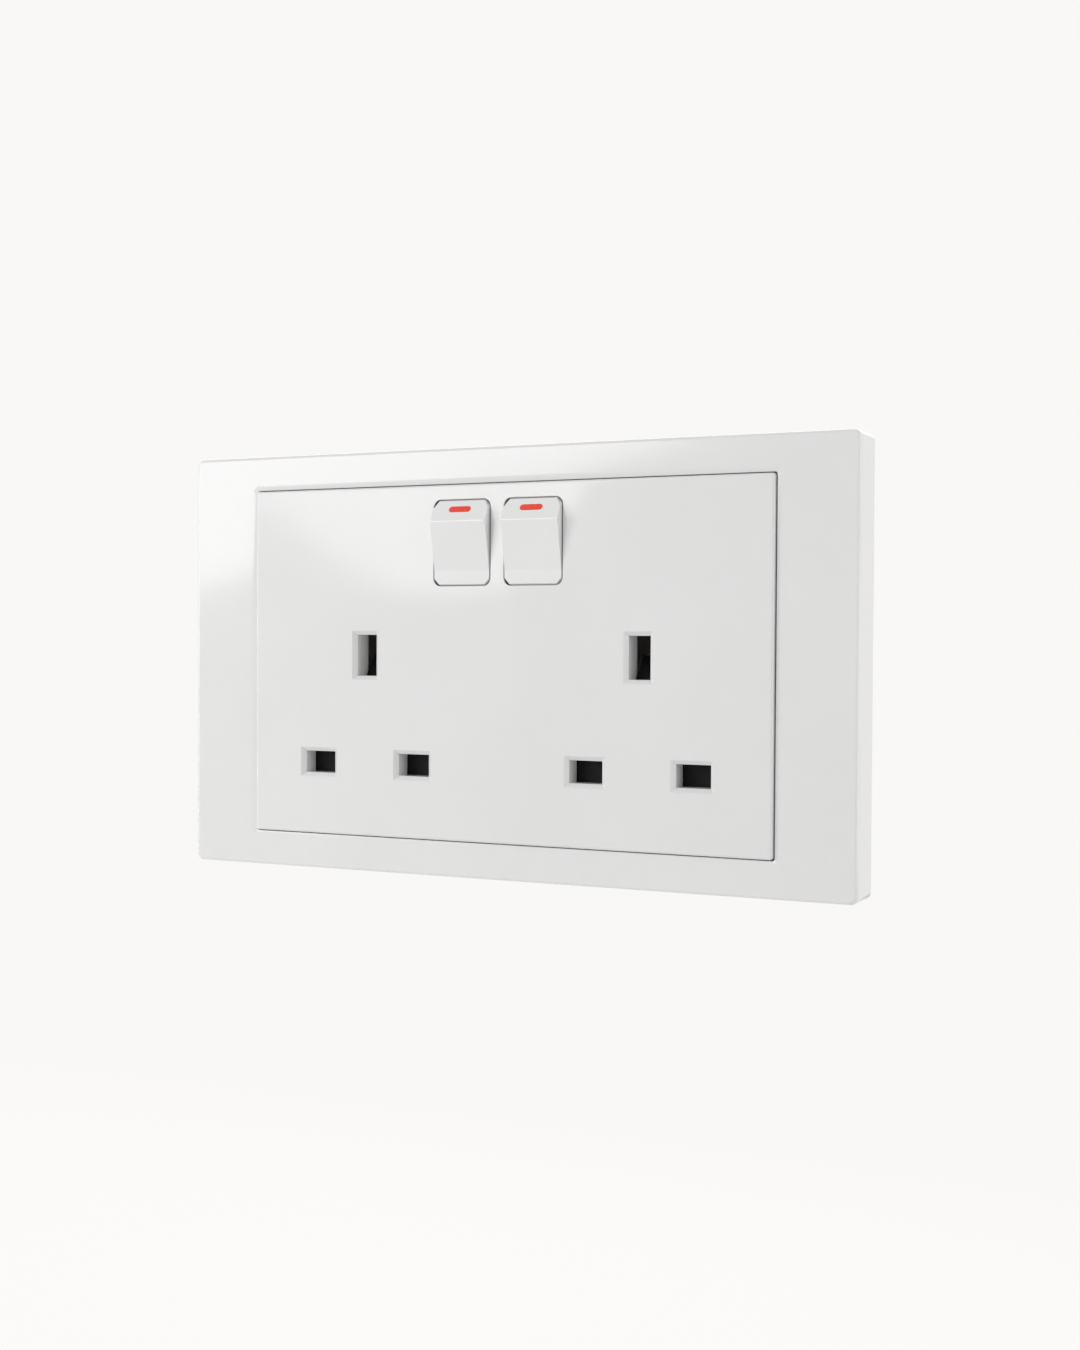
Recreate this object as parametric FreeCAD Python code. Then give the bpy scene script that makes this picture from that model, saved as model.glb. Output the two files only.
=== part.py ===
import FreeCAD, Part
import math
import os

# Twin switched wall socket. Millimetres: X to the right, Y into the wall, Z up.
# The origin is the plate's centre on the wall's surface.

# Trim frame, clipped on from the front
frame_rail = 7.4
frame_depth = 9.0
frame_wall = 1.8
frame_corner = 1.5
frame_edge = 0.5
frame_bevel = 1.2
frame_bevel_depth = 0.15
frame_lip_wall = 1.2
frame_lip_depth = 4.0
frame_rib_wall = 1.0
frame_rib_pitch = 28.0
hook_margin = 8.5
hook_row = 22.0
hook_width = 6.0
hook_wall = 1.5
hook_barb = 1.0
hook_reach = 2.2

# Socket face
face_width = 114.0
face_height = 71.2
face_proud = 0.8
face_gap = 0.25
face_wall = 2.4
face_corner = 0.5
face_edge = 0.35
skirt_wall = 1.8

# Mounting plate, between face and housing
plate_end = 8.7
plate_margin = 2.2
plate_wall = 1.2
plate_corner = 3.0
fixing_pitch = 120.6
fixing_radius = 2.0
fixing_slot = 6.0
fixing_head_radius = 3.6
fixing_head_height = 3.0

# Outlets: earth slot above two line slots
outlet_margin = 26.8
line_margin = 14.8
line_pitch = 22.2
earth_rise = 22.2
line_slot_width = 7.0
line_slot_height = 4.45
earth_slot_width = 4.5
earth_slot_height = 8.4
slot_chamfer = 0.85
slot_wall = 1.2
earth_guide_depth = 5.0
earth_pin_height = 8.0
line_pin_reach = 17.7
earth_pin_reach = 22.7

# Shutters
shutter_depth = 4.6
shutter_wall = 2.0
shutter_travel = 4.6
shutter_cover = 0.22
shutter_stem_width = 9.2
shutter_wing_overlap = 0.7
ramp_front_depth = 4.0
ramp_angle = 53.0
ramp_rear_depth = 10.2
ramp_wall = 1.6
window_width = 4.8
window_length = 12.0
window_top_depth = 7.4
peg_width = 4.0
peg_height = 1.6
spigot_width = 1.5
spigot_length = 1.0
rail_wall = 1.4
rail_lip = 1.3
rail_lip_wall = 0.9
slide_gap = 0.3

# Shutter springs
shutter_spring_radius = 1.4
shutter_spring_wire = 0.2
shutter_spring_turns = 5
spring_seat = 0.05
coil_runs = 8

# Rockers, shown switched on
rocker_pitch = 15.74
rocker_margin = 3.3
rocker_width = 12.3
rocker_height = 16.6
rocker_gap = 0.25
rocker_wall = 1.4
rocker_corner = 1.0
rocker_swing = 14.0
rocker_skirt = 2.0
ridge_rise = 2.1
ridge_height = 4.2
crease_rise = 0.05
crease_drop = 5.5
rocker_lip_rise = 0.09
well_corner = 1.6
well_chamfer = 0.1
pivot_depth = 4.5
trunnion_radius = 1.3
trunnion_length = 1.2
pivot_clearance = 0.05
pivot_rib_wall = 2.0
pivot_rib_reach = 6.0
flag_width = 4.9
flag_height = 1.35
flag_depth = 0.7
flag_place = 0.42

# Plungers, sprung in the rockers' barrels
barrel_radius = 2.4
barrel_reach = 6.5
barrel_bore = 1.5
barrel_floor = 1.8
plunger_clearance = 0.05
plunger_seat = 2.6
plunger_tip_radius = 0.5
plunger_tip_reach = 9.5
plunger_neck = 0.9
plunger_spigot_width = 1.2
plunger_spigot_length = 1.2
plunger_spring_wire = 0.15
plunger_spring_turns = 3

# See-saw blades
blade_width = 4.5
blade_length = 13.6
blade_wall = 1.2
blade_tilt = 7.0
blade_gap = 0.1
blade_trunnion_radius = 0.6
blade_trunnion_length = 1.1
blade_tip_offset = 5.0
tip_width = 3.0
tip_height = 1.0
tip_gap = 0.12

# Brass strips, jaws and terminals
strip_wall = 0.8
strip_width = 4.4
strip_clearance = 0.63
tip_room = 0.6
jaw_depth = 10.0
line_jaw_gap = 6.9
line_jaw_grip = 6.3
earth_jaw_gap = 8.6
earth_jaw_grip = 8.1
jaw_flare = 0.7
jaw_flare_length = 1.3
jaw_width = 4.3
jaw_clearance = 0.5
bracket_wall = 1.0
bracket_height = 5.1
bracket_ear = 3.2
bracket_gap = 0.3
neutral_bar_drop = 5.7
arm_clearance = 1.4
feed_arm_rise = 8.8
feed_arm_offset = 9.0
earth_link_rise = 8.6
terminal_width = 7.4
terminal_height = 7.4
terminal_depth = 7.6
terminal_tunnel = 4.6
terminal_wall = 1.3
terminal_clearance = 1.0
terminal_inset = 0.3
clamp_screw_radius = 1.7
clamp_head_radius = 2.5
clamp_head_height = 1.9
clamp_head_gap = 0.1
screw_clearance = 0.05
drive_length = 3.2
drive_width = 0.8
drive_depth = 0.9

# Rear housing
housing_clearance = 0.95
housing_drop = 10.7
housing_rise = 9.6
housing_wall = 2.0
housing_corner = 2.0
housing_edge = 1.0
housing_pad = 1.2
flange_margin = 0.2
flange_inset = 0.8
flange_wall = 2.0
pad_width = 4.0
pad_height = 3.0
post_width = 3.0
post_height = 1.5
barrier_wall = 1.8
barrier_drop = 7.0
keeper_gap = 0.1
notch_gap = 0.3

# Assembly screws, from behind
assembly_head_gap = 0.5
assembly_screw_radius = 1.25
assembly_screw_length = 8.2
assembly_head_radius = 2.4
assembly_head_height = 1.6
assembly_hole_clearance = 0.35
pillar_width = 5.6
pillar_floor = 0.4

# Outlines and rows
frame_height = face_height + 2 * frame_rail
plate_width = fixing_pitch + 2 * plate_end
plate_height = frame_height - 2 * (frame_wall + plate_margin)
frame_width = plate_width + 2 * (frame_wall + plate_margin)
hook_offset = frame_width / 2 - hook_margin
outlet_pitch = face_width - 2 * outlet_margin
line_row = line_margin - face_height / 2
earth_row = line_row + earth_rise
rocker_row = face_height / 2 - rocker_margin - rocker_height / 2
jaw_span = line_jaw_gap + 2 * strip_wall
housing_width = outlet_pitch + line_pitch + jaw_span + 2 * (housing_clearance + housing_wall)
housing_bottom = housing_drop - line_row
housing_top = housing_rise + rocker_row
assembly_offset = housing_width / 2 + assembly_head_gap + assembly_head_radius
flange_width = 2 * (assembly_offset + assembly_head_radius + flange_margin)
flange_height = face_height - 2 * flange_inset
live_arm_row = earth_row + earth_jaw_gap / 2 + strip_wall + arm_clearance + strip_width / 2
earth_riser_row = live_arm_row + strip_width / 2 + arm_clearance
earth_link_row = earth_row + earth_link_rise
feed_arm_row = line_row + feed_arm_rise

# Planes across the depth
frame_front = -frame_depth
face_front = frame_front - face_proud
face_rear = face_front + face_wall
plate_front = -plate_wall
shutter_front = face_front + shutter_depth
shutter_rear = shutter_front + shutter_wall
tunnel_rear = shutter_front - slide_gap
line_strip = face_front + line_pin_reach + tip_room
earth_strip = face_front + earth_pin_reach + tip_room
housing_floor = earth_strip + strip_wall + housing_pad
housing_rear = housing_floor + housing_wall
pivot_y = face_front + pivot_depth
ramp_rear = face_front + ramp_rear_depth
rest_tilt = rocker_swing / 2
rocker_end = math.hypot(rocker_height / 2, pivot_depth)
blade_axis = pivot_y + plunger_tip_reach + blade_gap + blade_wall / 2
far = 50.0
over = 1.0
tiny = 1e-6

SIDES = (("left", -1), ("right", 1))
X = FreeCAD.Vector(1, 0, 0)
Y = FreeCAD.Vector(0, 1, 0)
Z = FreeCAD.Vector(0, 0, 1)


def vec(x, y, z):
    return FreeCAD.Vector(x, y, z)


def box(x0, x1, y0, y1, z0, z1):
    return Part.makeBox(x1 - x0, y1 - y0, z1 - z0, vec(x0, y0, z0))


def block(cx, cz, width, height, y0, y1):
    return box(cx - width / 2, cx + width / 2, y0, y1, cz - height / 2, cz + height / 2)


def rod(start, direction, radius, length):
    return Part.makeCylinder(radius, length, start, direction)


def outline(cx, cz, width, height, y, corner=0.0):
    """A rectangle facing the viewer at depth y, with rounded corners."""
    w = width / 2
    h = height / 2
    if corner <= 0:
        points = [vec(cx + a * w, y, cz + b * h) for a, b in ((-1, -1), (1, -1), (1, 1), (-1, 1))]
        return Part.makePolygon(points + points[:1])
    edges = []
    quadrants = ((1, 1), (-1, 1), (-1, -1), (1, -1))
    for k, (a, b) in enumerate(quadrants):
        centre = vec(cx + a * (w - corner), y, cz + b * (h - corner))
        turn = math.radians(90 * k)
        arc = [
            centre + vec(corner * math.cos(turn + t), 0, corner * math.sin(turn + t))
            for t in (0, math.pi / 4, math.pi / 2)
        ]
        edges.append(Part.Arc(*arc).toShape())
    joined = []
    for k, edge in enumerate(edges):
        joined.append(edge)
        start = edge.Vertexes[-1].Point
        end = edges[(k + 1) % 4].Vertexes[0].Point
        if start.distanceToPoint(end) > tiny:
            joined.append(Part.LineSegment(start, end).toShape())
    return Part.Wire(joined)


def slab(cx, cz, width, height, y0, y1, corner=0.0):
    wire = outline(cx, cz, width, height, y0, corner)
    return Part.Face(wire).extrude(vec(0, y1 - y0, 0))


def funnel(cx, cz, width, height, y, chamfer, corner=0.0, depth=None):
    """The space of a chamfer round a mouth at depth y, started a little in front of it.

    It is as deep as it is wide unless a depth is given.
    """
    depth = chamfer if depth is None else depth
    reach = 1.5 * chamfer
    front_corner = corner + reach if corner > 0 else 0.0
    front = outline(cx, cz, width + 2 * reach, height + 2 * reach, y - depth / 2, front_corner)
    rear = outline(cx, cz, width, height, y + depth, corner)
    return Part.makeLoft([front, rear], True, True)


def prism_x(points, x0, x1):
    """A closed outline of (y, z) points, extruded along X."""
    loop = [vec(x0, y, z) for y, z in points]
    return Part.Face(Part.makePolygon(loop + loop[:1])).extrude(vec(x1 - x0, 0, 0))


def prism_y(points, y0, y1):
    """A closed outline of (x, z) points, extruded along Y."""
    loop = [vec(x, y0, z) for x, z in points]
    return Part.Face(Part.makePolygon(loop + loop[:1])).extrude(vec(0, y1 - y0, 0))


def prism_z(points, z0, z1):
    """A closed outline of (x, y) points, extruded along Z."""
    loop = [vec(x, y, z0) for x, y in points]
    return Part.Face(Part.makePolygon(loop + loop[:1])).extrude(vec(0, 0, z1 - z0))


def joined(first, others):
    return first.multiFuse(others).removeSplitter() if others else first


def eased_edges(solid, y, size):
    """Take the outer edges that lie in the plane at depth y down by a small chamfer."""
    edges = [e for e in solid.Edges if all(abs(v.Y - y) < tiny for v in e.Vertexes)]
    return solid.makeChamfer(size, edges)


def coil(radius, wire, turns, length):
    """A spring along Z from z = 0 to z = length, its wire square and bent in short straight runs."""
    rise = length - 2 * wire
    steps = turns * coil_runs
    points = []
    for k in range(steps + 1):
        turn = 2 * math.pi * k / coil_runs
        points.append(vec(radius * math.cos(turn), radius * math.sin(turn), wire + rise * k / steps))
    path = Part.makePolygon(points)
    along = points[1] - points[0]
    square = [vec(a * wire, b * wire, 0) for a, b in ((-1, -1), (1, -1), (1, 1), (-1, 1))]
    section = Part.makePolygon(square + square[:1])
    section.Placement = FreeCAD.Placement(points[0], FreeCAD.Rotation(Z, along))
    return path.makePipeShell([section], True, False, 1)


def outlets():
    """Each outlet's name, centre line and its live and neutral slots' places."""
    for name, side in SIDES:
        centre = side * outlet_pitch / 2
        yield name, centre, centre + line_pitch / 2, centre - line_pitch / 2


def rockers():
    for name, side in SIDES:
        yield name, side * rocker_pitch / 2


def hook_places():
    return [(a * hook_offset, b * hook_row) for a in (-1, 1) for b in (-1, 1)]


# Trim frame


def make_trim_frame():
    shell = slab(0, 0, frame_width, frame_height, frame_front, 0, frame_corner)
    shell = eased_edges(shell, frame_front, frame_edge)
    inner_width = frame_width - 2 * frame_wall
    inner_height = frame_height - 2 * frame_wall
    shell = shell.cut(block(0, 0, inner_width, inner_height, frame_front + frame_wall, over))
    opening_width = face_width + 2 * face_gap
    opening_height = face_height + 2 * face_gap
    lip_width = opening_width + 2 * frame_lip_wall
    lip_height = opening_height + 2 * frame_lip_wall
    lip_rear = frame_front + frame_lip_depth
    lip = block(0, 0, lip_width, lip_height, frame_front + frame_wall, lip_rear)
    ribs = []
    rib_count = int(lip_width / 2 / frame_rib_pitch)
    for k in range(-rib_count, rib_count + 1):
        x = k * frame_rib_pitch
        rib = block(x, 0, frame_rib_wall, frame_height - frame_wall, frame_front + frame_wall, lip_rear)
        ribs.append(rib)
    shell = joined(shell, [lip] + ribs)
    opening = slab(0, 0, opening_width, opening_height, frame_front - over, over, face_corner)
    opening_sizes = (opening_width, opening_height)
    bevel = funnel(0, 0, *opening_sizes, frame_front, frame_bevel, face_corner, frame_bevel_depth)
    shell = shell.cut(opening).cut(bevel)
    hooks = []
    for x, z in hook_places():
        side = math.copysign(1.0, x)
        inner = x - side * hook_wall / 2
        outer = x + side * hook_wall / 2
        profile = [
            (inner, frame_front + frame_wall),
            (inner, hook_reach),
            (outer, hook_reach),
            (outer + side * hook_barb, slide_gap),
            (outer, slide_gap),
            (outer, frame_front + frame_wall),
        ]
        hooks.append(prism_z(profile, z - hook_width / 2, z + hook_width / 2))
    return joined(shell, hooks)


# Socket face


def make_well(x):
    """The opening that a rocker swings in: a chamfered mouth, and behind it a round about the pivot."""
    width = rocker_width + 2 * rocker_gap
    reach = rocker_end + rocker_gap
    mouth_rear = face_front + well_chamfer
    height = 2 * math.sqrt(reach ** 2 - (pivot_y - mouth_rear) ** 2)
    sweep = rod(vec(x - width / 2, pivot_y, rocker_row), X, reach, width)
    sweep = sweep.common(box(-far, far, mouth_rear, far, -far, far))
    return [sweep, funnel(x, rocker_row, width, height, face_front, well_chamfer, well_corner)]


def make_pivot_web(x0, x1):
    """A web behind the face with a round-ended slot, open to the rear, for the rockers' trunnions."""
    slot_radius = trunnion_radius + pivot_clearance
    web_rear = pivot_y + trunnion_radius + slot_radius
    middle = (x0 + x1) / 2
    wall = x1 - x0
    web = block(middle, rocker_row, wall, 2 * pivot_rib_reach, face_rear - over / 2, web_rear)
    seat = rod(vec(x0, pivot_y, rocker_row), X, slot_radius, wall)
    way = block(middle, rocker_row, wall, 2 * slot_radius, pivot_y, web_rear)
    return web.cut(seat).cut(way)


def make_spigot(centre, z0, z1):
    """The short square peg that centres a shutter spring's end."""
    middle = (shutter_front + shutter_rear) / 2
    half = spigot_width / 2
    return box(centre - half, centre + half, middle - half, middle + half, z0, z1)


def make_socket_face():
    body = slab(0, 0, face_width, face_height, face_front, plate_front, face_corner)
    body = eased_edges(body, face_front, face_edge)
    body = body.cut(block(0, 0, face_width - 2 * skirt_wall, face_height - 2 * skirt_wall, face_rear, over))
    root = face_rear - over / 2
    added = []
    cuts = []
    for name, centre, live, neutral in outlets():
        for x in (live, neutral):
            width = line_slot_width + 2 * slot_wall
            height = line_slot_height + 2 * slot_wall
            added.append(block(x, line_row, width, height, root, tunnel_rear))
            cuts.append(block(x, line_row, line_slot_width, line_slot_height, face_front - over, far))
            cuts.append(funnel(x, line_row, line_slot_width, line_slot_height, face_front, slot_chamfer))
        half = earth_slot_width / 2 + slot_wall
        slot_bottom = earth_row - earth_slot_height / 2
        guide_top = earth_row + earth_slot_height / 2 + slot_wall
        guide_rear = face_front + earth_guide_depth
        sill_bottom = slot_bottom - slot_wall
        sill_rear = face_front + ramp_front_depth - slide_gap
        added.append(box(centre - half, centre + half, root, guide_rear, slot_bottom, guide_top))
        added.append(box(centre - half, centre + half, root, sill_rear, sill_bottom, slot_bottom))
        cuts.append(block(centre, earth_row, earth_slot_width, earth_slot_height, face_front - over, far))
        cuts.append(funnel(centre, earth_row, earth_slot_width, earth_slot_height, face_front, slot_chamfer))
        seat_top = earth_row - window_top_depth - window_length + peg_height + slide_gap
        peg_rear = shutter_rear + slide_gap
        added.append(block(centre, seat_top - peg_height / 2, peg_width, peg_height, root, peg_rear))
        added.append(make_spigot(centre, seat_top, seat_top + spigot_length))
        wing = line_pitch / 2 + line_slot_width / 2 + shutter_wing_overlap
        wing_bottom = line_row - line_slot_height / 2 - shutter_cover
        for side in (-1, 1):
            inner = centre + side * (wing + slide_gap)
            outer = inner + side * rail_wall
            lip = inner - side * rail_lip
            lip_front = shutter_rear + slide_gap
            lip_rear = lip_front + rail_lip_wall
            profile = [(inner, root), (outer, root), (outer, lip_rear)]
            profile += [(lip, lip_rear), (lip, lip_front), (inner, lip_front)]
            rail_top = line_row + line_slot_height / 2 + slot_wall
            added.append(prism_z(profile, wing_bottom - shutter_travel - slide_gap, rail_top))
    inner_web = rocker_pitch / 2 - rocker_width / 2 - rocker_gap
    outer_web = rocker_pitch / 2 + rocker_width / 2 + rocker_gap
    webs = [
        make_pivot_web(-inner_web, inner_web),
        make_pivot_web(outer_web, outer_web + pivot_rib_wall),
        make_pivot_web(-outer_web - pivot_rib_wall, -outer_web),
    ]
    for name, x in rockers():
        cuts.extend(make_well(x))
    for side in (-1, 1):
        x = side * assembly_offset
        added.append(block(x, 0, pillar_width, pillar_width, root, plate_front))
        depth = assembly_screw_length - flange_wall - plate_wall + pillar_floor
        cuts.append(rod(vec(x, plate_front, 0), -Y, assembly_screw_radius + screw_clearance, depth))
        start = vec(side * fixing_pitch / 2, plate_front - fixing_head_height, 0)
        cuts.append(rod(start, Y, fixing_head_radius + slide_gap, fixing_head_height + over))
    body = joined(body, added)
    for cut in cuts:
        body = body.cut(cut)
    return joined(body, webs)


# Mounting plate


def make_mounting_plate():
    plate = slab(0, 0, plate_width, plate_height, plate_front, 0, plate_corner)
    window_half = housing_width / 2 - housing_wall
    window_top = rocker_row + rocker_end + rocker_gap
    window_bottom = housing_wall - housing_bottom
    plate = plate.cut(box(-window_half, window_half, -far, far, window_bottom, window_top))
    for side in (-1, 1):
        x = side * fixing_pitch / 2
        plate = plate.cut(slab(x, 0, fixing_slot, 2 * fixing_radius, -far, far, fixing_radius))
        hole = assembly_screw_radius + assembly_hole_clearance
        plate = plate.cut(rod(vec(side * assembly_offset, -far, 0), Y, hole, 2 * far))
    for x, z in hook_places():
        plate = plate.cut(block(x, z, hook_wall + 2 * slide_gap, hook_width + 2 * slide_gap, -far, far))
    return plate


# Rear housing


def make_housing_posts():
    """The pads that the brass parts lie on, standing on the housing's floor."""
    posts = []
    for name, centre, live, neutral in outlets():
        for x in (live, neutral):
            posts.append(block(x, line_row, pad_width, pad_height, line_strip + strip_wall, housing_rear))
        posts.append(block(centre, earth_row, pad_width, pad_height, earth_strip + strip_wall, housing_rear))
    for name, x in rockers():
        for z in (rocker_row, rocker_row + blade_tip_offset):
            posts.append(block(x, z, post_width, post_height, line_strip + strip_wall, housing_rear))
    return posts


def barrier_places():
    """The walls beside and between the switches, in line with the webs that carry the rockers' pivots."""
    side_web = rocker_pitch / 2 + rocker_width / 2 + rocker_gap + pivot_rib_wall / 2
    return -side_web, 0.0, side_web


def make_barriers():
    """Walls beside the switches. Their tongues reach forward and keep the rockers' trunnions in the webs."""
    barriers = []
    tongue_front = pivot_y + trunnion_radius + keeper_gap
    tongue_height = 2 * (trunnion_radius - keeper_gap)
    half = barrier_wall / 2
    for x in barrier_places():
        wall = box(x - half, x + half, 0, housing_rear, rocker_row - barrier_drop, housing_top)
        tongue = block(x, rocker_row, barrier_wall, tongue_height, tongue_front, over)
        barriers.append(wall.fuse(tongue))
    return barriers


def terminal_places():
    """Each terminal's name, centre line and whether its wire comes in from below or above."""
    half = outlet_pitch / 2
    return (
        ("neutral_terminal", -half, -1),
        ("live_terminal", half, -1),
        ("left_earth_terminal", -half, 1),
        ("right_earth_terminal", half, 1),
    )


def terminal_span(way):
    """The lowest and highest point of a terminal block, just inside the housing's edge."""
    if way < 0:
        low = housing_wall - housing_bottom + terminal_inset
        return low, low + terminal_height
    high = housing_top - housing_wall - terminal_inset
    return high - terminal_height, high


def make_rear_housing():
    height = housing_top + housing_bottom
    middle = (housing_top - housing_bottom) / 2
    shell = slab(0, middle, housing_width, height, 0, housing_rear, housing_corner)
    shell = eased_edges(shell, housing_rear, housing_edge)
    flange = slab(0, 0, flange_width, flange_height, 0, flange_wall, housing_corner)
    inner_width = housing_width - 2 * housing_wall
    inner_height = height - 2 * housing_wall
    shell = joined(shell, [flange]).cut(block(0, middle, inner_width, inner_height, -over, housing_floor))
    inset = housing_wall / 2
    rear = housing_rear - inset
    limits = block(0, middle, inner_width + 2 * inset, inner_height + 2 * inset, -far, rear)
    fittings = [piece.common(limits) for piece in make_housing_posts() + make_barriers()]
    shell = joined(shell, fittings)
    feed_bottom = rocker_row - bracket_height / 2 - notch_gap
    feed_top = rocker_row + bracket_height / 2 + notch_gap
    strip_front = line_strip - notch_gap
    strip_back = line_strip + strip_wall + notch_gap
    shell = shell.cut(box(-barrier_wall, barrier_wall, strip_front, strip_back, feed_bottom, feed_top))
    arm_bottom = rocker_row + blade_tip_offset - strip_width / 2 - notch_gap
    arm_top = rocker_row + blade_tip_offset + strip_width / 2 + notch_gap
    for x in (barrier_places()[0], barrier_places()[-1]):
        notch = box(x - barrier_wall, x + barrier_wall, strip_front, strip_back, arm_bottom, arm_top)
        shell = shell.cut(notch)
    for name, x, way in terminal_places():
        low, high = terminal_span(way)
        half = terminal_width / 2 + terminal_clearance
        bottom = -far if way < 0 else low - terminal_clearance
        top = high + terminal_clearance if way < 0 else far
        front = line_strip + strip_wall - notch_gap
        shell = shell.cut(box(x - half, x + half, front, far, bottom, top))
    hole = assembly_screw_radius + assembly_hole_clearance
    for side in (-1, 1):
        shell = shell.cut(rod(vec(side * assembly_offset, 0, 0), Y, hole, flange_wall))
    return shell


# Shutters and their springs


def make_shutter(centre):
    wing = line_pitch / 2 + line_slot_width / 2 + shutter_wing_overlap
    wing_bottom = line_row - line_slot_height / 2 - shutter_cover
    wing_top = line_row + line_slot_height / 2 + shutter_cover
    stem = shutter_stem_width / 2
    slot_bottom = earth_row - earth_slot_height / 2
    stem_top = slot_bottom - 2 * slide_gap
    outline_points = [
        (centre - wing, wing_bottom),
        (centre + wing, wing_bottom),
        (centre + wing, wing_top),
        (centre + stem, wing_top),
        (centre + stem, stem_top),
        (centre - stem, stem_top),
        (centre - stem, wing_top),
        (centre - wing, wing_top),
    ]
    body = prism_y(outline_points, shutter_front, shutter_rear)
    window_top = earth_row - window_top_depth
    window = block(centre, window_top - window_length / 2, window_width, window_length, -far, far)
    body = body.cut(window)
    ramp_front = face_front + ramp_front_depth
    ramp_top = earth_row - earth_pin_height / 2 + shutter_travel - shutter_cover / 2
    ramp_run = (ramp_top - slot_bottom) / math.tan(math.radians(ramp_angle))
    foot = window_top + ramp_wall
    profile = [
        (ramp_front, foot),
        (ramp_front, slot_bottom),
        (ramp_front + ramp_run, ramp_top),
        (ramp_rear, ramp_top),
        (ramp_rear, ramp_top - ramp_wall),
        (shutter_rear, stem_top - ramp_wall / 2),
        (shutter_rear, foot),
    ]
    half = earth_slot_width / 2 - slide_gap
    ramp = prism_x(profile, centre - half, centre + half)
    return joined(body, [ramp, make_spigot(centre, window_top - spigot_length, window_top)])


def make_shutter_spring(centre):
    seat_top = earth_row - window_top_depth - window_length + peg_height + slide_gap
    length = earth_row - window_top_depth - seat_top - 2 * spring_seat
    spring = coil(shutter_spring_radius, shutter_spring_wire, shutter_spring_turns, length)
    spring.translate(vec(centre, (shutter_front + shutter_rear) / 2, seat_top + spring_seat))
    return spring


# Rockers, flags and plungers


def rocker_point(rise, forward):
    """A point of the rocker's side view, from its pivot: (y, z)."""
    return pivot_y - forward, rocker_row + rise


def rocker_profile(inset):
    """The rocker's side view, its front faces moved in by the inset and its ends left long."""
    top = rocker_height / 2
    ridge = pivot_depth + ridge_rise - inset
    crease = pivot_depth + crease_rise - inset
    end = pivot_depth - inset
    reach = rocker_end + over
    upper_slope = ridge_rise / (top - ridge_height)
    lower_slope = (crease_rise - rocker_lip_rise) / (top - crease_drop)
    back = -rocker_skirt - inset
    return [
        rocker_point(reach, end - upper_slope * (reach - top)),
        rocker_point(ridge_height, ridge),
        rocker_point(-crease_drop, crease),
        rocker_point(-reach, end + rocker_lip_rise - lower_slope * (reach - top)),
        rocker_point(-reach, back),
        rocker_point(reach, back),
    ]


def tilted(shape):
    shape.rotate(vec(0, pivot_y, rocker_row), X, rest_tilt)
    return shape


def make_flag_block(x, depth):
    """A stadium on the rocker's top bevel, reaching the given depth into it."""
    drop = rocker_height / 2 - ridge_height
    lean = math.degrees(math.atan2(ridge_rise, drop))
    y, z = rocker_point(rocker_height / 2 - flag_place * drop, pivot_depth + flag_place * ridge_rise)
    stadium = slab(x, z, flag_width, flag_height, y, y + depth, flag_height / 2)
    stadium.rotate(vec(x, y, z), X, -lean)
    return stadium


def make_rocker(x):
    half = rocker_width / 2
    blank = rod(vec(x - half, pivot_y, rocker_row), X, rocker_end, rocker_width)
    blank = blank.makeChamfer(rocker_corner, [e for e in blank.Edges if len(e.Vertexes) == 1])
    cap = blank.common(prism_x(rocker_profile(0.0), x - half, x + half))
    inner = half - rocker_wall
    core = block(x, rocker_row, 2 * inner, rocker_height - 2 * rocker_wall, -far, far)
    core = core.common(prism_x(rocker_profile(rocker_wall), x - half, x + half))
    front = vec(x, pivot_y - pivot_depth, rocker_row)
    barrel = tilted(rod(front, Y, barrel_radius, pivot_depth + barrel_reach))
    pin = trunnion_length + rocker_wall
    left_pin = rod(vec(x - inner, pivot_y, rocker_row), -X, trunnion_radius, pin)
    right_pin = rod(vec(x + inner, pivot_y, rocker_row), X, trunnion_radius, pin)
    cap = joined(cap.cut(core), [barrel, left_pin, right_pin])
    floor = vec(x, pivot_y - barrel_floor, rocker_row)
    bore = tilted(rod(floor, Y, barrel_bore, barrel_floor + barrel_reach + over))
    return cap.cut(bore).cut(make_flag_block(x, flag_depth))


def make_flag(x):
    return make_flag_block(x, flag_depth)


def make_plunger(x):
    shank = barrel_bore - plunger_clearance
    neck = pivot_y + plunger_tip_reach - plunger_neck
    seat = pivot_y + plunger_seat
    body = rod(vec(x, seat, rocker_row), Y, shank, neck - seat)
    nose = Part.makeCone(shank, plunger_tip_radius, plunger_neck, vec(x, neck, rocker_row), Y)
    width = plunger_spigot_width
    spigot = block(x, rocker_row, width, width, seat - plunger_spigot_length, seat)
    return tilted(joined(body, [nose, spigot]))


def make_plunger_spring(x):
    radius = barrel_bore - plunger_clearance - 2 * plunger_spring_wire
    length = barrel_floor + plunger_seat - 2 * spring_seat
    spring = coil(radius, plunger_spring_wire, plunger_spring_turns, length)
    spring.rotate(vec(0, 0, 0), X, -90)
    spring.translate(vec(x, pivot_y - barrel_floor + spring_seat, rocker_row))
    return tilted(spring)


# See-saw blades and contact tips


def seesaw(shape):
    shape.rotate(vec(0, blade_axis, rocker_row), X, -blade_tilt)
    return shape


def make_blade(x):
    half = blade_wall / 2
    strip = block(x, rocker_row, blade_width, blade_length, blade_axis - half, blade_axis + half)
    reach = blade_width / 2 + blade_trunnion_length
    pin = rod(vec(x - reach, blade_axis, rocker_row), X, blade_trunnion_radius, 2 * reach)
    return seesaw(joined(strip, [pin]))


def make_blade_tip(x):
    front = blade_axis + blade_wall / 2
    return seesaw(block(x, rocker_row + blade_tip_offset, tip_width, tip_width, front, front + tip_height))


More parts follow.
